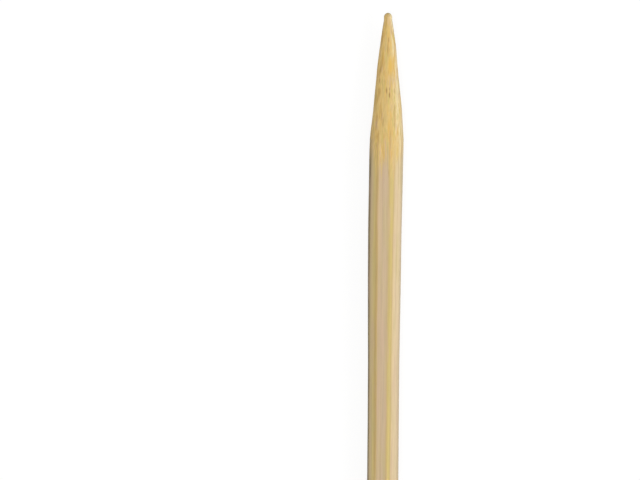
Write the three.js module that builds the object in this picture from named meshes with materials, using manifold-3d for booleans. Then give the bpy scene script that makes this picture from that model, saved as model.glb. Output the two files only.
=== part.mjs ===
// A bamboo skewer, in one piece: a round stick with long planed flats, sharpened at one end and sawn at the other.
// Millimetres, +Z up. It lies on its widest flat along X, with the point towards +X.
// The origin is on the surface that it lies on, below the middle of its length.

import * as THREE from "three";
import { mergeVertices } from "three/addons/utils/BufferGeometryUtils.js";
import Module from "manifold-3d";

// The stick
const stickLength = 150; // from the sawn butt to the tip of the point
const stickDiameter = 5.15; // of the round stock, before the flats are planed

// The sawn butt
const buttArris = 0.14; // how far in and along the saw and the tumbler break its edge

// The point, measured back from the tip
const pointLength = 20.5; // to where the sharpening cut runs out into the stick
const runOutRadius = 2.475; // of the point there, just under the stock's own
const runOutLength = 7; // of the shoulder, a very slight cone from there up to the stock
const nibDiameter = 1.16; // of the blunt nib that the cutter leaves
const nibLength = 1.4;
const nibDome = 0.45; // how far the nib is rounded over, part of its length
const flareAt = 5; // the first control of the point's curve, just behind the nib
const flareRadius = 1.25;
const bellyAt = 13; // the second control, where the curve flattens towards the stick
const bellyRadius = 1.85;

// The flats: the angle that each one faces, from straight up towards -Y, and how deep the knife bit
const restBite = 0.22; // the widest flat, underneath
const flats = [
  { turn: 180, bite: restBite },
  { turn: -9, bite: 0.17 },
  { turn: 38, bite: 0.14 },
  { turn: 80, bite: 0.11 },
  { turn: 125, bite: 0.15 },
  { turn: -133, bite: 0.12 },
  { turn: -90, bite: 0.13 },
  { turn: -46, bite: 0.07 },
];

// How finely the curves are drawn
const sidesRound = 48;
const stepsOnCurves = 8;

const stickRadius = stickDiameter / 2;
const axisHeight = stickRadius - restBite; // of the stick's centre line above the surface

const wasm = await Module();
wasm.setup();

// A closed three.js geometry as a solid that can be cut.
function solidOf(geometry) {
  const bare = geometry.clone();
  bare.deleteAttribute("normal");
  bare.deleteAttribute("uv");
  const merged = mergeVertices(bare);
  return new wasm.Manifold(
    new wasm.Mesh({
      numProp: 3,
      vertProperties: merged.attributes.position.array,
      triVerts: new Uint32Array(merged.index.array),
    }),
  );
}

// The cut solid as a three.js geometry with flat-shaded faces.
function geometryOf(solid) {
  const mesh = solid.getMesh();
  const indexed = new THREE.BufferGeometry();
  indexed.setAttribute("position", new THREE.BufferAttribute(mesh.vertProperties, 3));
  indexed.setIndex(new THREE.BufferAttribute(mesh.triVerts, 1));
  const faceted = indexed.toNonIndexed();
  faceted.computeVertexNormals();
  return faceted;
}

// Half of the stick's outline: x is the distance from the centre line, y the distance from the butt.
function turnedProfile() {
  const fromTip = (distance) => stickLength - distance;
  const nibRadius = nibDiameter / 2;
  const outline = new THREE.Path();
  outline.moveTo(0, 0);
  outline.lineTo(stickRadius - buttArris, 0);
  outline.lineTo(stickRadius, buttArris);
  outline.lineTo(stickRadius, fromTip(pointLength + runOutLength));
  outline.lineTo(runOutRadius, fromTip(pointLength));
  outline.bezierCurveTo(
    bellyRadius,
    fromTip(bellyAt),
    flareRadius,
    fromTip(flareAt),
    nibRadius,
    fromTip(nibLength),
  );
  outline.lineTo(nibRadius, fromTip(nibDome));
  outline.absellipse(0, fromTip(nibDome), nibRadius, nibDome, 0, Math.PI / 2, false, 0);
  return outline.getPoints(stepsOnCurves);
}

// The stick as it leaves the lathe and the sharpener, with its centre line along X and its butt at x = 0.
function turnedStick() {
  const geometry = new THREE.LatheGeometry(turnedProfile(), sidesRound);
  geometry.rotateZ(-Math.PI / 2);
  return solidOf(geometry);
}

// The wood that one knife takes off: a slab that runs past both ends, its inner face at the depth of the bite.
function planedSlab({ turn, bite }) {
  const across = 2 * stickDiameter;
  const geometry = new THREE.BoxGeometry(2 * stickLength, across, across);
  geometry.translate(stickLength / 2, 0, stickRadius - bite + across / 2);
  geometry.rotateX(THREE.MathUtils.degToRad(turn));
  return solidOf(geometry);
}

function skewer() {
  const planed = flats.reduce((stick, flat) => stick.subtract(planedSlab(flat)), turnedStick());
  const bamboo = new THREE.MeshStandardMaterial({
    color: new THREE.Color().setRGB(0.82, 0.72, 0.53, THREE.SRGBColorSpace),
    roughness: 0.62,
    metalness: 0,
  });
  const mesh = new THREE.Mesh(geometryOf(planed), bamboo);
  mesh.name = "skewer";
  mesh.position.set(-stickLength / 2, 0, axisHeight);
  return mesh;
}

const bambooSkewer = new THREE.Group();
bambooSkewer.add(skewer());

export default bambooSkewer;
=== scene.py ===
import math

import bpy
import numpy as np
from mathutils import Matrix, Vector


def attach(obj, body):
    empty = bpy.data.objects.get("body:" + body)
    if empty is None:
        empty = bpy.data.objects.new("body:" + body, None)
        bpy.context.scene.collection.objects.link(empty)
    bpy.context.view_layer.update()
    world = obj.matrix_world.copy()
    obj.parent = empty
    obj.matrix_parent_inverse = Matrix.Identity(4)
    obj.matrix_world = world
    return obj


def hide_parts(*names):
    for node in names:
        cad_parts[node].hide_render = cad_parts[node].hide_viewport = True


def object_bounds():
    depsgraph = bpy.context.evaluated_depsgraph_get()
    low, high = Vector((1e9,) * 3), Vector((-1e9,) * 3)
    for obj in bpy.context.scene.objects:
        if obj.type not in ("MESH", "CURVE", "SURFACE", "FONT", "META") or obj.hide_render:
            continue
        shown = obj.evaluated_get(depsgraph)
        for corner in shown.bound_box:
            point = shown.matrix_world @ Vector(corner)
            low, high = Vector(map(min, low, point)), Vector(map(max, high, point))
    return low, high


# A bamboo skewer on a white table: a round stick with long planed flats, a sharpened point and a sawn butt.
# Lengths are millimetres in the dictionaries and arrays, and metres once they reach a mesh, lamp or camera.

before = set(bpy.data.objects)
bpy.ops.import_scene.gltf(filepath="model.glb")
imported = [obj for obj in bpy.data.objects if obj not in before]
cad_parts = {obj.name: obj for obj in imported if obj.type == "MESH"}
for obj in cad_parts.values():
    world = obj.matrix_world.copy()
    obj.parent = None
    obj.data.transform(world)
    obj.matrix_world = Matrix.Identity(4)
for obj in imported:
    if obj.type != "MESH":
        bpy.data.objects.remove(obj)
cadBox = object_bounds()
print("frame loaded:", sorted(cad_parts))

mm = 0.001
buttEnd, tipEnd = cadBox[0].x / mm, cadBox[1].x / mm  # the stick runs along X, its point towards +X
length = tipEnd - buttEnd


def srgb(red, green, blue):
    # a colour as it is read off a screen, 0 to 255, in the linear values that shaders take
    def linear(value):
        value /= 255
        return value / 12.92 if value <= 0.04045 else ((value + 0.055) / 1.055) ** 2.4
    return (linear(red), linear(green), linear(blue), 1.0)


# Shader helpers: each takes numbers, colours or sockets, and gives back the new node's output socket
def fillSocket(tree, socket, value):
    if isinstance(value, (int, float, tuple)):
        socket.default_value = value
    else:
        tree.links.new(value, socket)


def addMath(tree, operation, first, second, clamp=False):
    node = tree.nodes.new("ShaderNodeMath")
    node.operation = operation
    node.use_clamp = clamp
    fillSocket(tree, node.inputs[0], first)
    fillSocket(tree, node.inputs[1], second)
    return node.outputs[0]


def addMix(tree, blend, factor, first, second):
    node = tree.nodes.new("ShaderNodeMix")
    node.data_type = "RGBA"
    node.blend_type = blend
    fillSocket(tree, node.inputs[0], factor)
    fillSocket(tree, node.inputs[6], first)  # 6 and 7 are the colour inputs, A and B
    fillSocket(tree, node.inputs[7], second)
    return node.outputs[2]


def addRange(tree, value, low, high, toLow=0.0, toHigh=1.0, smooth=True):
    node = tree.nodes.new("ShaderNodeMapRange")
    node.interpolation_type = "SMOOTHSTEP" if smooth else "LINEAR"
    tree.links.new(value, node.inputs["Value"])
    for name, number in (("From Min", low), ("From Max", high), ("To Min", toLow), ("To Max", toHigh)):
        node.inputs[name].default_value = number
    return node.outputs["Result"]


def addAxes(tree, kind):
    # the X, Y and Z of a texture coordinate
    place = tree.nodes.new("ShaderNodeTexCoord")
    apart = tree.nodes.new("ShaderNodeSeparateXYZ")
    tree.links.new(place.outputs[kind], apart.inputs[0])
    return apart.outputs


# Camera, from above and behind the point
view = {
    "lens": 120.0,
    "sensor": 36.0,
    "clip": (0.01, 20),  # metres
    "lean": 32.4,  # degrees from straight down, towards the point
    "heading": -0.33,  # degrees that the stick leans off the picture's upright
    "distance": 319.6,
    "aimBehindTip": 37.7,  # the point of the centre line that the camera is aimed at
    "aimHeight": 2.355,
    "slideLeft": 9.748,  # the camera's own step aside, so the stick stands right of the middle
}


def makeCamera():
    lean, heading = math.radians(view["lean"]), math.radians(view["heading"])
    ahead = Vector((math.cos(heading), math.sin(heading), 0))
    right = Vector((math.sin(heading), -math.cos(heading), 0))
    forward = -(ahead * math.sin(lean) + Vector((0, 0, math.cos(lean))))
    up = right.cross(forward)
    target = Vector((tipEnd - view["aimBehindTip"], 0, view["aimHeight"]))
    place = target - forward * view["distance"] - right * view["slideLeft"]
    data = bpy.data.cameras.new("camera")
    data.lens = view["lens"]
    data.sensor_width = view["sensor"]
    data.clip_start, data.clip_end = view["clip"]
    camera = bpy.data.objects.new("camera", data)
    turned = Matrix((right, up, -forward)).transposed().to_4x4()
    camera.matrix_world = Matrix.Translation(place * mm) @ turned
    bpy.context.scene.collection.objects.link(camera)
    bpy.context.scene.camera = camera


makeCamera()
print("camera placed")

# Studio light: a soft key from the picture's right, a weak lamp overhead and a room dimmer on the left
studio = {
    "roomRight": 0.67,
    "roomLeft": 0.42,
    "key": {"watts": 1.25, "size": 360, "place": (60, -520, 400)},
    "top": {"watts": 1.25, "size": 420, "place": (160, 140, 640)},
    "aim": (30, 0, 0),
}


def makeLamp(name, lamp):
    data = bpy.data.lights.new(name, "AREA")
    data.energy = lamp["watts"]
    data.size = lamp["size"] * mm
    lampObject = bpy.data.objects.new(name, data)
    place, aim = Vector(lamp["place"]) * mm, Vector(studio["aim"]) * mm
    lampObject.location = place
    lampObject.rotation_euler = (aim - place).to_track_quat("-Z", "Y").to_euler()
    bpy.context.scene.collection.objects.link(lampObject)


def makeStudio():
    makeLamp("keyLamp", studio["key"])
    makeLamp("topLamp", studio["top"])
    world = bpy.data.worlds.new("room")
    world.use_nodes = True
    tree = world.node_tree
    background = tree.nodes["Background"]
    background.inputs["Color"].default_value = (1, 1, 1, 1)
    leftward = addAxes(tree, "Generated")["Y"]
    fade = addRange(tree, leftward, -1.0, 1.0, studio["roomRight"], studio["roomLeft"], smooth=False)
    tree.links.new(fade, background.inputs["Strength"])
    bpy.context.scene.world = world
    bpy.context.scene.view_settings.view_transform = "Standard"


makeStudio()
print("lamps and room set")

# Table: pale, and shown as white with only the stick's soft shadow left on it
table = {
    "size": 3000,
    "seenColour": srgb(206, 206, 206),
    "bounceColour": srgb(138, 138, 135),  # darker than it is seen, so the stick's lower side stays in shade
    "whiteShare": 0.72,  # how much of what the camera sees is plain white
    "whiteStrength": 1.2,
}


def makeTableTop():
    material = bpy.data.materials.new("tableTop")
    material.use_nodes = True
    tree = material.node_tree
    tree.nodes.clear()
    path = tree.nodes.new("ShaderNodeLightPath")
    seen = addMath(tree, "MAXIMUM", path.outputs["Is Camera Ray"], path.outputs["Is Glossy Ray"])
    seenThrough = addMath(tree, "MAXIMUM", seen, path.outputs["Is Transmission Ray"])
    matt = tree.nodes.new("ShaderNodeBsdfDiffuse")
    tone = addMix(tree, "MIX", seenThrough, table["bounceColour"], table["seenColour"])
    tree.links.new(tone, matt.inputs["Color"])
    white = tree.nodes.new("ShaderNodeEmission")
    white.inputs["Strength"].default_value = table["whiteStrength"]
    mix = tree.nodes.new("ShaderNodeMixShader")
    tree.links.new(addMath(tree, "MULTIPLY", seenThrough, table["whiteShare"]), mix.inputs[0])
    tree.links.new(matt.outputs[0], mix.inputs[1])
    tree.links.new(white.outputs[0], mix.inputs[2])
    output = tree.nodes.new("ShaderNodeOutputMaterial")
    tree.links.new(mix.outputs[0], output.inputs["Surface"])
    return material


def makeTable():
    half = table["size"] * mm / 2
    corners = [(-half, -half, 0), (half, -half, 0), (half, half, 0), (-half, half, 0)]
    mesh = bpy.data.meshes.new("table")
    mesh.from_pydata(corners, [], [(0, 1, 2, 3)])
    mesh.materials.append(makeTableTop())
    tableObject = bpy.data.objects.new("table", mesh)
    bpy.context.scene.collection.objects.link(tableObject)


makeTable()
print("table laid")

# The skewer's form. Turns are degrees from straight up to the picture's right, and "behind" is from the tip.
skewer = {
    "radius": 2.575,
    "restBite": 0.22,
    # turn and depth of each planed flat, the one that it lies on first
    "flats": [
        (180, 0.22), (-9, 0.17), (38, 0.14), (80, 0.11),
        (125, 0.15), (-133, 0.12), (-90, 0.13), (-46, 0.07),
    ],
    "biteDrift": 0.3,  # how much deeper or shallower a flat gets on its way
    "edgeSoftness": 0.055,
    "nibRadius": 0.58,
    "nibDome": 0.62,
    "pointCurve": [(1.0, 0.57), (5, 1.25), (13, 1.85), (20.5, 2.475)],  # behind, radius: a Bezier curve
    "shoulderEnd": 27.5,
    # behind the tip, and how much wider the stick is there than its stock
    "girth": [
        (0, 1.0), (6, 1.03), (10, 1.0), (14, 1.015), (18, 1.015), (22, 1.022), (27, 1.012), (45, 1.016),
        (60, 0.99), (72, 1.004), (84, 1.025), (100, 1.008), (125, 0.99), (150, 1.0),
    ],
    # behind the tip, and how far the stick strays there towards the picture's right
    "sideways": [
        (0, 0.02), (5, 0.07), (8, 0.03), (15.7, 0.13), (19.7, 0.05), (24, -0.02), (36, -0.1),
        (54, -0.06), (72, 0.03), (83, 0.06), (110, 0.02), (150, 0.0),
    ],
    "arris": 0.14,
    "chipping": 0.2,  # share of the arris that varies round the butt
    # how deep the tools go: along the planed flats, and along, across and round the sharpening cut
    "stickGroove": 0.012,
    "cutGroove": 0.014,
    "cutNick": 0.016,
    "cutChatter": 0.02,
    "calmTip": (3, 0.25),  # the cut is full depth from here on, and this share of it at the very tip
    # the cut gives way to the planed stick here, over this length, in tongues this long
    "cutEnd": 28.0,
    "cutFade": 11,
    "tongue": 1.8,
    "around": 216,
    "ringsOnNib": 9,
    "ringsOnPoint": 150,
    "ringsOnStick": 230,
    "ringsOnArris": 6,
    "ringsOnButt": 38,
}

# Uneven work: seed, cells round the stick and length of a cell
uneven = {
    "tongueSides": (11, 26, 400),
    "tongueEnds": (12, 70, 5),
    "grooves": (21, 68, 16),
    "nicks": (22, 60, 1.6),
    "chatter": (23, 14, 2.6),
    "chips": (24, 40, 400),
    "sawWaver": (31, 5, 3),
    "torn": (32, 44, 1),
    "drift": (40, 3, 34),  # each flat has the next seed
}

# The sawn butt: the saw's strokes, and the soft wood torn out between the bundles
butt = {
    "strokeSlope": (0.9, 2.6),  # how fast the strokes follow each other along Y and along Z
    "strokeWaver": 0.5,
    "strokeBeats": (3.1, 7.3),
    "strokeDepth": 0.01,
    "tornDepth": 0.03,
    "pithDepth": 0.03,
    "middleDepth": 0.02,
    "levelPower": 8,  # the wear keeps to the inside and leaves the rim level
    "rimFrom": 0.86,
    "rimWidth": 0.12,
    # where the noises start at the middle, and how far each runs from there out to the rim
    "noiseStart": 8,
    "waverRun": 4,
    "tornRun": 9,
}

# The bundles of fibres in the wood: brown dots on the butt, strands on the flats, flames on the cut
bundles = {
    "spacing": 0.64,
    "rowPitch": 0.866,  # of the spacing, as in a honeycomb
    "rowsEachSide": 5,
    "jitter": 0.18,
    "clearance": 0.36,
    "radius": (0.08, 0.17),
    "squash": (0.6, 1.0),
    "strength": (0.5, 1.0),
    "softness": 0.05,
    "sway": 0.05,
    "swayRuns": (17, 23),
    "pastSurface": 0.1,
    "shown": [(-34, 0.04), (10.4, 0.05)],  # turn and depth of two strands that lie along the top
    "shownUnder": 0.16,
    "shownRadius": 0.13,
    "shownSway": 0.02,
}

# Marks on the cut: behind the tip, turn, half length, half width and strength
marks = {
    "honey": [
        (7.65, 16, 1.65, 0.42, 0.9), (7.2, 36, 1.7, 0.24, 0.45), (2.9, 8, 1.4, 0.2, 0.5),
        (6.2, -34, 1.5, 0.2, 0.55), (11.8, -42, 1.0, 0.3, 0.4),
        (1.6, -12, 0.9, 0.16, 0.4), (4.6, 22, 1.2, 0.16, 0.5), (12.0, -12, 2.4, 0.16, 0.4),
        (17.2, 4, 2.2, 0.22, 0.5), (21.5, 40, 1.8, 0.34, 0.4), (14.5, 58, 2.4, 0.3, 0.35),
        (11.0, 150, 3.0, 0.4, 0.6), (15.5, -140, 2.6, 0.35, 0.5), (9.0, -100, 2.0, 0.3, 0.4),
    ],
    "fleck": [
        (11.4, -6, 0.55, 0.11, 0.9), (12.1, 8, 0.6, 0.12, 1.0), (11.8, -42, 0.8, 0.24, 0.3),
        (11.2, 8, 0.4, 0.09, 0.7), (11.6, 33, 0.5, 0.09, 0.6), (8.4, -45, 0.65, 0.09, 0.7),
        (10.1, -46, 0.5, 0.12, 0.6), (3.7, 4, 0.5, 0.12, 0.6), (5.2, -4, 0.7, 0.08, 0.4),
        (14.2, 30, 0.7, 0.07, 0.4), (16.4, -18, 0.9, 0.07, 0.5), (20.5, -38, 1.0, 0.07, 0.5),
        (19.2, -48, 0.7, 0.07, 0.5), (24.6, 9, 0.8, 0.06, 0.4), (13.4, 120, 0.6, 0.1, 0.8),
        (16.2, -120, 0.7, 0.1, 0.7), (9.6, 170, 0.6, 0.08, 0.8), (18.0, 95, 0.6, 0.07, 0.5),
    ],
}
markReach = 1.25  # a mark has faded out at this many half lengths or half widths

axisHeight = skewer["radius"] - skewer["restBite"]


def smoothStep(value):
    value = np.clip(value, 0, 1)
    return value * value * (3 - 2 * value)


def turnedAway(turn, degrees):
    # the angle from a turn given in degrees, from -pi to pi
    apart = turn - math.radians(degrees)
    return np.arctan2(np.sin(apart), np.cos(apart))


def ringNoise(kind, turn, along):
    # smooth noise from -1 to 1 that closes round the stick
    seed, cells, cellLength = kind
    rng = np.random.default_rng(seed)
    rows = int(length / cellLength) + 4
    grid = rng.uniform(-1, 1, (rows, cells))
    across = (turn / (2 * math.pi) * cells) % cells
    down = np.clip(along / cellLength + 1, 0, rows - 1.001)  # stops just short of the last row
    column, row = np.floor(across).astype(int) % cells, np.floor(down).astype(int)
    u, v = smoothStep(across - np.floor(across)), smoothStep(down - row)
    nextColumn = (column + 1) % cells
    near = grid[row, column] * (1 - u) + grid[row, nextColumn] * u
    far = grid[row + 1, column] * (1 - u) + grid[row + 1, nextColumn] * u
    return near * (1 - v) + far * v


def depthNoise(kind, turn, along):
    # the same noise from 0 to 1
    return 0.5 + 0.5 * ringNoise(kind, turn, along)


def turnedRadius(behind):
    # the outline that the lathe and the sharpener leave
    curveSteps, domeSteps = 200, 30
    t = np.linspace(0, 1, curveSteps)[:, None]
    p = np.array(skewer["pointCurve"])
    curve = (1 - t) ** 3 * p[0] + 3 * (1 - t) ** 2 * t * p[1] + 3 * (1 - t) * t ** 2 * p[2] + t ** 3 * p[3]
    away = 1 - np.linspace(0, 1, domeSteps)
    nib = np.stack([skewer["nibDome"] * (1 - away), skewer["nibRadius"] * np.sqrt(1 - away ** 2)], 1)
    # the stock is of one thickness from the shoulder back to the butt
    stock = np.array([[skewer["shoulderEnd"], skewer["radius"]], [length, skewer["radius"]]])
    outline = np.concatenate([nib, curve, stock])
    return np.interp(behind, outline[:, 0], outline[:, 1])


def flatRadius(number, turn, along):
    # how far out one flat is, or far off where the turn faces away from it
    steepest, farOff = 0.3, 9.0
    facing, bite = skewer["flats"][number]
    seed, cells, run = uneven["drift"]
    drift = 0  # the flat that it lies on is even
    if number > 0:
        oneSide = np.full_like(turn, 0.1)
        drift = skewer["biteDrift"] * ringNoise((seed + number, cells, run), oneSide, along)
    apothem = skewer["radius"] - bite * (1 + drift)
    slope = np.cos(turnedAway(turn, facing))
    return np.where(slope > steepest, apothem / np.maximum(slope, steepest), farOff)


def stickRadius(turn, along):
    # the least of the turned outline and the flats, with the edges between them softened
    soft = skewer["edgeSoftness"]
    layers = [turnedRadius(length - along)]
    layers += [flatRadius(number, turn, along) for number in range(len(skewer["flats"]))]
    return -soft * np.logaddexp.reduce(-np.stack(layers) / soft, axis=0)


def cutShare(turn, along):
    # 1 on the sharpening cut and 0 on the planed stick, with tongues between the fibres
    level = np.zeros_like(turn)
    tongues = ringNoise(uneven["tongueSides"], turn, level) + ringNoise(uneven["tongueEnds"], turn, along)
    back = length - along
    return smoothStep((skewer["cutEnd"] + skewer["tongue"] * tongues - back) / skewer["cutFade"])


def workedRadius(plain, cut, turn, along):
    # the grooves, nicks and chatter of the tools, and the broken edge of the butt
    back, arris = length - along, skewer["arris"]
    grooves = depthNoise(uneven["grooves"], turn, along)
    nicks = depthNoise(uneven["nicks"], turn, along)
    chatter = depthNoise(uneven["chatter"], turn, along)
    calmEnd, least = skewer["calmTip"]
    onCut = skewer["cutGroove"] * grooves + skewer["cutNick"] * nicks + skewer["cutChatter"] * chatter
    radius = plain - (1 - cut) * skewer["stickGroove"] * grooves
    radius -= cut * onCut * np.clip(back / calmEnd, least, 1)
    nearButt = np.clip((arris - along) / arris, 0, 1)
    broken = ringNoise(uneven["chips"], turn, np.zeros_like(along))
    chips = 1 - skewer["chipping"] + skewer["chipping"] * broken
    return radius - arris * (1 - np.sqrt(1 - nearButt ** 2)) * chips


def layBundles():
    rng, lookRng = np.random.default_rng(7), np.random.default_rng(8)
    phases = (0, 6.3)  # radians
    step, jitter = bundles["spacing"], bundles["jitter"]
    laid = []  # each one's Y, Z, radius, sway, phase, squash, lean and strength
    for turn, depth in bundles["shown"]:
        angle, out = math.radians(turn), skewer["radius"] - bundles["shownUnder"] - depth
        y, z = -out * math.sin(angle), out * math.cos(angle)
        phase = rng.uniform(*phases)
        laid.append((y, z, bundles["shownRadius"], bundles["shownSway"], phase, 1.0, 0.0, 1.0))
    reach = range(-bundles["rowsEachSide"], bundles["rowsEachSide"] + 1)
    for row in reach:
        for column in reach:
            y = (column + 0.5 * (row % 2)) * step + rng.uniform(-1, 1) * jitter
            z = row * step * bundles["rowPitch"] + rng.uniform(-1, 1) * jitter
            size, phase = rng.uniform(*bundles["radius"]), rng.uniform(*phases)
            clear = all(math.hypot(y - other[0], z - other[1]) > bundles["clearance"] for other in laid)
            if clear and math.hypot(y, z) < skewer["radius"] + bundles["pastSurface"]:
                squash = lookRng.uniform(*bundles["squash"])
                lean = lookRng.uniform(0, math.pi)
                strength = lookRng.uniform(*bundles["strength"])
                laid.append((y, z, size, bundles["sway"], phase, squash, lean, strength))
    return laid


def bundleMask(laid, along, y, z):
    # 1 inside a bundle of fibres, 0 in the softer wood between them
    mask = np.zeros_like(y)
    soft = bundles["softness"]
    runY, runZ = bundles["swayRuns"]
    for bundleY, bundleZ, size, sway, phase, squash, lean, strength in laid:
        awayY = y - bundleY - sway * np.sin(along / runY + phase)
        awayZ = z - bundleZ - sway * np.sin(along / runZ + 2 * phase)
        away = np.hypot(
            awayY * math.cos(lean) + awayZ * math.sin(lean),
            (awayZ * math.cos(lean) - awayY * math.sin(lean)) / squash,
        )
        mask = np.maximum(mask, strength * smoothStep((size + soft - away) / (2 * soft)))
    return mask


def markMask(kind, turn, back, radius):
    # 1 in the middle of a mark and 0 outside it, the marks drawn out along the fibres
    mask = np.zeros_like(turn)
    for behind, facing, halfLength, halfWidth, strength in marks[kind]:
        away = turnedAway(turn, facing)
        reach = np.hypot((back - behind) / halfLength, away * radius / halfWidth)
        mask = np.maximum(mask, strength * smoothStep(markReach - reach))
    return mask


def placeRings():
    # how far behind the tip each ring of points stands, closest together on the nib, point and arris
    dome, shoulder, arris = skewer["nibDome"], skewer["shoulderEnd"], skewer["arris"]
    firstAngle = 0.12  # radians off the nib's very end
    onNib = dome * (1 - np.cos(np.linspace(firstAngle, math.pi / 2, skewer["ringsOnNib"])))
    onPoint = np.linspace(dome, shoulder, skewer["ringsOnPoint"])[1:]
    onStick = np.linspace(shoulder, length - arris, skewer["ringsOnStick"])[1:]
    onArris = length - arris * (1 - np.sin(np.linspace(0, math.pi / 2, skewer["ringsOnArris"])))[1:]
    return np.concatenate([onNib, onPoint, onStick, onArris])


def sawButt(rim, turn, laid):
    # the butt's rings from the arris in to the middle: how far in the wood is worn, Y, Z, bundles and rim
    shares = np.linspace(1, 0, skewer["ringsOnButt"] + 1)[1:-1]
    share, capTurn = np.meshgrid(shares, turn, indexing="ij")
    y, z = -share * rim * np.sin(capTurn), share * rim * np.cos(capTurn)
    strand = bundleMask(laid, np.zeros_like(y), y, z)
    slopeY, slopeZ = butt["strokeSlope"]
    slowBeat, fastBeat = butt["strokeBeats"]
    waverPlace = butt["waverRun"] * share + butt["noiseStart"]
    tornPlace = butt["tornRun"] * share + butt["noiseStart"]
    waver = butt["strokeWaver"] * ringNoise(uneven["sawWaver"], capTurn, waverPlace)
    road = slopeY * y + slopeZ * z + waver
    strokes = 0.5 + 0.5 * np.sin(road * slowBeat) * np.sin(road * fastBeat + 1.0)
    torn = depthNoise(uneven["torn"], capTurn, tornPlace)
    wear = butt["strokeDepth"] * strokes + butt["tornDepth"] * torn + butt["pithDepth"] * (1 - strand)
    rimMask = smoothStep((share - butt["rimFrom"]) / butt["rimWidth"])
    return (1 - share ** butt["levelPower"]) * wear, y, z, strand, rimMask


def joinRings(rows, around, tip, middle):
    # four-sided faces between the rings, and a fan at either end
    column = np.arange(around)
    after = (column + 1) % around
    start = (np.arange(rows - 1) * around)[:, None]
    corners = [start + column, start + after, start + around + after, start + around + column]
    faces = np.stack(corners, -1).reshape(-1, 4).tolist()
    last = (rows - 1) * around
    faces += [(tip, int(b), int(a)) for a, b in zip(column, after)]
    faces += [(int(last + a), int(last + b), middle) for a, b in zip(column, after)]
    return faces


def makeSkewer():
    around = skewer["around"]
    turns = np.linspace(0, 2 * math.pi, around, endpoint=False)
    behind = placeRings()
    along, turn = np.meshgrid(length - behind, turns, indexing="ij")
    back = length - along
    cut = cutShare(turn, along)
    plain = stickRadius(turn, along)
    radius = workedRadius(plain, cut, turn, along)
    laid = layBundles()
    strand = bundleMask(laid, along, -plain * np.sin(turn), plain * np.cos(turn))

    wide = np.interp(back, *np.array(skewer["girth"]).T)
    aside = np.interp(back, *np.array(skewer["sideways"]).T)
    y = -radius * np.sin(turn) * wide - aside
    z = np.maximum(axisHeight + radius * np.cos(turn), 0)

    wear, capY, capZ, capStrand, rimMask = sawButt(radius[-1], turns, laid)
    buttWide, buttAside, tipAside = wide[-1, 0], aside[-1, 0], aside[0, 0]
    points = np.concatenate([
        np.stack([along + buttEnd, y, z], -1).reshape(-1, 3),
        np.stack([buttEnd + wear, capY * buttWide - buttAside, capZ + axisHeight], -1).reshape(-1, 3),
        [[buttEnd + butt["middleDepth"], -buttAside, axisHeight], [tipEnd, -tipAside, axisHeight]],
    ]) * mm
    middle, tip = len(points) - 2, len(points) - 1
    rows = len(behind) + len(capY)
    faces = joinRings(rows, around, tip, middle)

    mesh = bpy.data.meshes.new("bamboo_skewer")
    mesh.from_pydata(points.tolist(), [], faces)
    mesh.shade_smooth()
    bare = np.zeros(capY.size)
    # each mask on the stick's rings, on the butt's rings, and at the butt's middle and the tip
    masks = {
        "strand": (strand, capStrand, [0, 0]),
        "cut": (cut, bare, [0, 1]),
        "honey": (markMask("honey", turn, back, plain), bare, [0, 0]),
        "fleck": (markMask("fleck", turn, back, plain), bare, [0, 0]),
        "rim": (np.ones(radius.size), rimMask, [0, 0]),
    }
    for name, parts in masks.items():
        values = np.concatenate([np.ravel(part) for part in parts]).astype(np.float32)
        mesh.attributes.new(name, "FLOAT", "POINT").data.foreach_set("value", values)
    quads = (rows - 1) * around
    onButt = np.zeros(len(faces), dtype=np.int32)
    onButt[(len(behind) - 1) * around:quads] = 1
    onButt[quads + around:] = 1
    mesh.polygons.foreach_set("material_index", onButt)
    mesh.update()
    skewerObject = bpy.data.objects.new("bamboo_skewer", mesh)
    bpy.context.scene.collection.objects.link(skewerObject)
    print("skewer:", len(mesh.polygons), "faces,", len(laid), "bundles")
    return skewerObject


# Node groups, shared by both finishes
def newGroup(name, inputs, outputs):
    group = bpy.data.node_groups.new(name, "ShaderNodeTree")
    for socketName, kind, value in inputs:
        socket = group.interface.new_socket(socketName, in_out="INPUT", socket_type=kind)
        socket.default_value = value
    for socketName, kind in outputs:
        group.interface.new_socket(socketName, in_out="OUTPUT", socket_type=kind)
    return group, group.nodes.new("NodeGroupInput").outputs, group.nodes.new("NodeGroupOutput").inputs


def makeFibreStreaks():
    # noise drawn out along the stick: Streak is broad, Fibre is hair-thin
    group, inlet, outlet = newGroup(
        "fibreStreaks",
        [
            ("Width", "NodeSocketFloat", 0.5),
            ("Run", "NodeSocketFloat", 20.0),
            ("Seed", "NodeSocketFloat", 0.0),
        ],
        [("Streak", "NodeSocketFloat"), ("Fibre", "NodeSocketFloat")],
    )
    axes = addAxes(group, "Object")
    perWidth = addMath(group, "DIVIDE", 1 / mm, inlet["Width"])
    perRun = addMath(group, "DIVIDE", 1 / mm, inlet["Run"])
    together = group.nodes.new("ShaderNodeCombineXYZ")
    for axis, scale in (("X", perRun), ("Y", perWidth), ("Z", perWidth)):
        group.links.new(addMath(group, "MULTIPLY", axes[axis], scale), together.inputs[axis])
    for name, scale, detail, shift in (("Streak", 1.0, 3.0, 0.0), ("Fibre", 3.7, 4.0, 9.0)):
        noise = group.nodes.new("ShaderNodeTexNoise")
        noise.noise_dimensions = "4D"
        noise.inputs["Scale"].default_value = scale
        noise.inputs["Detail"].default_value = detail
        noise.inputs["Roughness"].default_value = 0.55
        group.links.new(together.outputs[0], noise.inputs["Vector"])
        group.links.new(addMath(group, "ADD", inlet["Seed"], shift), noise.inputs["W"])
        group.links.new(noise.outputs["Fac"], outlet[name])
    return group


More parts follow.
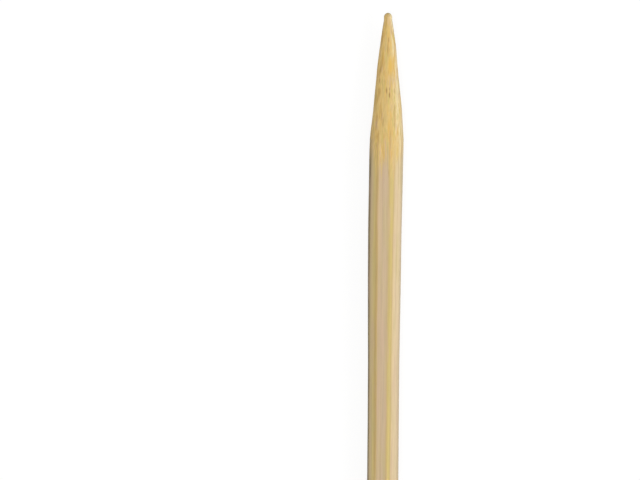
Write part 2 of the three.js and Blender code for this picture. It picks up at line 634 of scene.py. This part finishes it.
def makeWoodTone():
    # a wood colour, darker and lighter with the streaks and stained where a bundle of fibres comes out
    group, inlet, outlet = newGroup(
        "woodTone",
        [
            ("Wood", "NodeSocketColor", (0.6, 0.4, 0.2, 1)),
            ("Stain", "NodeSocketColor", (0.4, 0.25, 0.1, 1)),
            ("Streak", "NodeSocketFloat", 0.5),
            ("Fibre", "NodeSocketFloat", 0.5),
            ("Strand", "NodeSocketFloat", 0.0),
            ("Streak Depth", "NodeSocketFloat", 0.2),
            ("Fibre Depth", "NodeSocketFloat", 0.1),
            ("Strand Depth", "NodeSocketFloat", 0.3),
        ],
        [("Colour", "NodeSocketColor")],
    )

    def shade(value, depth):
        centred = addMath(group, "SUBTRACT", value, 0.5)
        return addMath(group, "ADD", 1.0, addMath(group, "MULTIPLY", centred, depth))

    byStreak = shade(inlet["Streak"], inlet["Streak Depth"])
    byFibre = shade(inlet["Fibre"], inlet["Fibre Depth"])
    both = addMath(group, "MULTIPLY", byStreak, byFibre)
    grey = group.nodes.new("ShaderNodeCombineColor")
    for name in ("Red", "Green", "Blue"):
        group.links.new(both, grey.inputs[name])
    shaded = addMix(group, "MULTIPLY", 1.0, inlet["Wood"], grey.outputs[0])
    stainShare = addMath(group, "MULTIPLY", inlet["Strand"], inlet["Strand Depth"], clamp=True)
    group.links.new(addMix(group, "MIX", stainShare, shaded, inlet["Stain"]), outlet["Colour"])
    return group


def makeFibreRelief():
    # the height of the raised fibres, and how dull the surface is between them
    group, inlet, outlet = newGroup(
        "fibreRelief",
        [
            ("Streak", "NodeSocketFloat", 0.5),
            ("Fibre", "NodeSocketFloat", 0.5),
            ("Strand", "NodeSocketFloat", 0.0),
            ("Dull", "NodeSocketFloat", 0.62),
            ("Spread", "NodeSocketFloat", 0.2),
        ],
        [("Height", "NodeSocketFloat"), ("Roughness", "NodeSocketFloat")],
    )
    centred = addMath(group, "SUBTRACT", inlet["Fibre"], 0.5)
    rough = addMath(group, "MULTIPLY", centred, inlet["Spread"])
    group.links.new(addMath(group, "ADD", inlet["Dull"], rough, clamp=True), outlet["Roughness"])
    broad = addMath(group, "MULTIPLY", inlet["Streak"], 0.5)
    high = addMath(group, "ADD", broad, inlet["Fibre"])
    raised = addMath(group, "ADD", high, addMath(group, "MULTIPLY", inlet["Strand"], 0.4))
    group.links.new(raised, outlet["Height"])
    return group


groups = {"streaks": makeFibreStreaks(), "tone": makeWoodTone(), "relief": makeFibreRelief()}
print("node groups built:", ", ".join(group.name for group in groups.values()))


def addGroup(tree, key, **values):
    node = tree.nodes.new("ShaderNodeGroup")
    node.node_tree = groups[key]
    for name, value in values.items():
        fillSocket(tree, node.inputs[name.replace("_", " ")], value)
    return node.outputs


def addMask(tree, name):
    node = tree.nodes.new("ShaderNodeAttribute")
    node.attribute_name = name
    return node.outputs["Fac"]


def newMaterial(name):
    material = bpy.data.materials.new(name)
    material.use_nodes = True
    return material, material.node_tree, material.node_tree.nodes["Principled BSDF"]


def linkRelief(tree, shader, streaks, strand, finish):
    # roughness and bump that follow the fibres
    relief = addGroup(
        tree, "relief", Streak=streaks["Streak"], Fibre=streaks["Fibre"], Strand=strand,
        Dull=finish["dull"], Spread=finish["dullSpread"],
    )
    tree.links.new(relief["Roughness"], shader.inputs["Roughness"])
    bump = tree.nodes.new("ShaderNodeBump")
    bump.inputs["Strength"].default_value = finish["bump"]
    bump.inputs["Distance"].default_value = finish["bumpDepth"] * mm
    tree.links.new(relief["Height"], bump.inputs["Height"])
    tree.links.new(bump.outputs["Normal"], shader.inputs["Normal"])


# Planed and sharpened bamboo
planed = {
    # turn in degrees and the colour there, round the stick; the dark stops from -84 to -63 are painted
    # shade, a dark line down the left flank that faces away from the key lamp
    "bands": [
        (-180, (208, 186, 142)),
        (-98, (206, 184, 136)),
        # painted shade: these three stops darken the left flank, where the stick turns away from the key
        # lamp
        (-84, (186, 165, 120)),
        (-74, (132, 114, 78)),
        (-63, (136, 117, 81)),
        (-58, (210, 187, 142)),
        (-52, (220, 196, 146)),
        (-45, (222, 198, 138)),
        (-40, (228, 203, 132)),
        (-36, (220, 193, 124)),
        (-32, (204, 173, 110)),
        (-28, (204, 174, 114)),
        (-24, (214, 187, 144)),
        (-12, (211, 185, 150)),
        (0, (211, 186, 150)),
        (8, (206, 180, 136)),
        (13, (204, 180, 114)),
        (19, (216, 192, 118)),
        (25, (214, 190, 122)),
        (30, (226, 200, 152)),
        (40, (230, 206, 164)),
        (85, (226, 204, 164)),
        (130, (214, 192, 148)),
        (180, (208, 186, 142)),
    ],
    "bandSwing": 0.13,  # radians that the bands waver on their way
    "stickPink": (216, 184, 156),
    "stickOlive": (208, 190, 132),
    "blush": 0.38,  # how much of those two the flats take in places
    "cutWood": (226, 194, 124),
    "cutLeft": (245, 209, 132),
    # painted highlight: the pale colour of the cut's right side, where the key lamp lights it
    "cutPaintedHighlight": (250, 229, 176),
    "cutDeep": (220, 178, 98),
    "cutPink": (224, 190, 152),
    "cutOlive": (212, 190, 108),
    "tinge": 0.75,  # how much of those last two the cut takes in places
    # the turns over which a side of the cut comes in, and those over which it goes again; the second side is
    # a painted highlight on the right, towards the key lamp
    "leftSide": ((-12, -34), (-120, -80)),
    "paintedHighlightSide": ((18, 52), (150, 100)),
    "honey": (230, 186, 88),
    "fleck": (168, 126, 66),
    "strandStain": (190, 152, 90),
    "cutStain": (188, 148, 84),
    "dull": 0.6,
    "dullSpread": 0.25,
    "bump": 0.7,
    "bumpDepth": 0.04,
}


def addTurn(tree):
    # the turn round the stick's centre line, in radians
    axes = addAxes(tree, "Object")
    rise = addMath(tree, "SUBTRACT", axes["Z"], axisHeight * mm)
    return addMath(tree, "ARCTAN2", addMath(tree, "MULTIPLY", axes["Y"], -1.0), rise)


def addBands(tree, turn):
    # the colours round the stick, with a painted shade line down its left flank, wavering a little on their
    # way
    waver = addGroup(tree, "streaks", Width=3.0, Run=30.0, Seed=3.0)
    centred = addMath(tree, "SUBTRACT", waver["Streak"], 0.5)
    swung = addMath(tree, "ADD", turn, addMath(tree, "MULTIPLY", centred, planed["bandSwing"]))
    share = addMath(tree, "ADD", addMath(tree, "DIVIDE", swung, 2 * math.pi), 0.5)
    ramp = tree.nodes.new("ShaderNodeValToRGB")
    tree.links.new(share, ramp.inputs[0])
    stops = ramp.color_ramp.elements
    for index, (angle, colour) in enumerate(planed["bands"]):
        stop = stops[index] if index < 2 else stops.new(1.0)  # a new ramp has two stops
        stop.position = angle / 360 + 0.5
        stop.color = srgb(*colour)
    return ramp.outputs[0]


def addSide(tree, turn, comesIn, goesOut):
    # 1 on one side of the stick, fading out at both of its edges
    rises = addRange(tree, turn, *[math.radians(angle) for angle in comesIn])
    sinks = addRange(tree, turn, *[math.radians(angle) for angle in goesOut])
    return addMath(tree, "MULTIPLY", rises, sinks)


def addStickTone(tree, turn, strand, streaks):
    # the planed flats: bands of colour with a painted shade line on the left flank, pinker and greener in
    # places
    blush = addGroup(tree, "streaks", Width=0.7, Run=9.0, Seed=21.0)
    pink = addRange(tree, blush["Streak"], 0.5, 0.66, 0.0, planed["blush"])
    olive = addRange(tree, blush["Streak"], 0.5, 0.34, 0.0, planed["blush"])
    wood = addMix(tree, "MIX", pink, addBands(tree, turn), srgb(*planed["stickPink"]))
    wood = addMix(tree, "MIX", olive, wood, srgb(*planed["stickOlive"]))
    return addGroup(
        tree, "tone", Wood=wood, Stain=srgb(*planed["strandStain"]), Strand=strand,
        Streak=streaks["Streak"], Fibre=streaks["Fibre"],
        Streak_Depth=0.26, Fibre_Depth=0.34, Strand_Depth=0.35,
    )["Colour"]


def addCutTone(tree, turn, strand):
    # the sharpening cut: warmer, in short flames, and paler towards its right side, where a painted
    # highlight stands for the key lamp's light
    streaks = addGroup(tree, "streaks", Width=0.4, Run=4.6, Seed=5.0)
    tinge = addGroup(tree, "streaks", Width=0.34, Run=4.5, Seed=14.0)
    left = addSide(tree, turn, *planed["leftSide"])
    # painted highlight on the cut's right side, facing the key lamp
    paintedHighlight = addSide(tree, turn, *planed["paintedHighlightSide"])
    deep = addRange(tree, streaks["Streak"], 0.45, 0.68)
    pink = addRange(tree, tinge["Streak"], 0.54, 0.68, 0.0, planed["tinge"])
    olive = addRange(tree, tinge["Streak"], 0.46, 0.34, 0.0, planed["tinge"])
    wood = addMix(tree, "MIX", left, srgb(*planed["cutWood"]), srgb(*planed["cutLeft"]))
    for share, colour in ((paintedHighlight, "cutPaintedHighlight"), (deep, "cutDeep"), (pink, "cutPink"), (olive, "cutOlive")):
        wood = addMix(tree, "MIX", share, wood, srgb(*planed[colour]))
    return addGroup(
        tree, "tone", Wood=wood, Stain=srgb(*planed["cutStain"]), Strand=strand,
        Streak=streaks["Streak"], Fibre=streaks["Fibre"],
        Streak_Depth=0.3, Fibre_Depth=0.6, Strand_Depth=0.42,
    )["Colour"]


def makePlaned():
    material, tree, shader = newMaterial("planedBamboo")
    turn, strand = addTurn(tree), addMask(tree, "strand")
    streaks = addGroup(tree, "streaks", Width=0.42, Run=26.0, Seed=0.0)
    stickTone = addStickTone(tree, turn, strand, streaks)
    cutTone = addCutTone(tree, turn, strand)
    # the cut's edge is feathered along the fibres
    fringe = addMath(tree, "SUBTRACT", streaks["Fibre"], 0.5)
    onCut = addRange(tree, addMath(tree, "ADD", addMask(tree, "cut"), fringe), 0.15, 0.85)
    colour = addMix(tree, "MIX", onCut, stickTone, cutTone)
    for mark in ("honey", "fleck"):
        colour = addMix(tree, "MIX", addMask(tree, mark), colour, srgb(*planed[mark]))
    tree.links.new(colour, shader.inputs["Base Color"])
    linkRelief(tree, shader, streaks, strand, planed)
    return material


# Bamboo sawn across the fibres
sawn = {
    "pith": (228, 194, 158),
    "rim": (232, 206, 150),
    "bundle": (166, 126, 84),
    "ragged": 2.4,  # how far the pores eat into a bundle's edge
    "dull": 0.82,
    "dullSpread": 0.2,
    "bump": 0.6,
    "bumpDepth": 0.05,
}


def makeSawn():
    material, tree, shader = newMaterial("sawnBamboo")
    pores = addGroup(tree, "streaks", Width=0.2, Run=0.2, Seed=2.0)
    centred = addMath(tree, "SUBTRACT", pores["Streak"], 0.5)
    ragged = addMath(tree, "MULTIPLY", centred, sawn["ragged"])
    strand = addRange(tree, addMath(tree, "ADD", addMask(tree, "strand"), ragged), 0.3, 0.85)
    tone = addGroup(
        tree, "tone",
        Wood=addMix(tree, "MIX", addMask(tree, "rim"), srgb(*sawn["pith"]), srgb(*sawn["rim"])),
        Stain=srgb(*sawn["bundle"]), Strand=strand, Streak=pores["Streak"], Fibre=pores["Fibre"],
        Streak_Depth=0.5, Fibre_Depth=0.55, Strand_Depth=0.9,
    )
    tree.links.new(tone["Colour"], shader.inputs["Base Color"])
    linkRelief(tree, shader, pores, strand, sawn)
    return material


piece = makeSkewer()
for finish in (makePlaned(), makeSawn()):
    piece.data.materials.append(finish)
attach(piece, "root")
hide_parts("skewer")
print("skewer dressed")
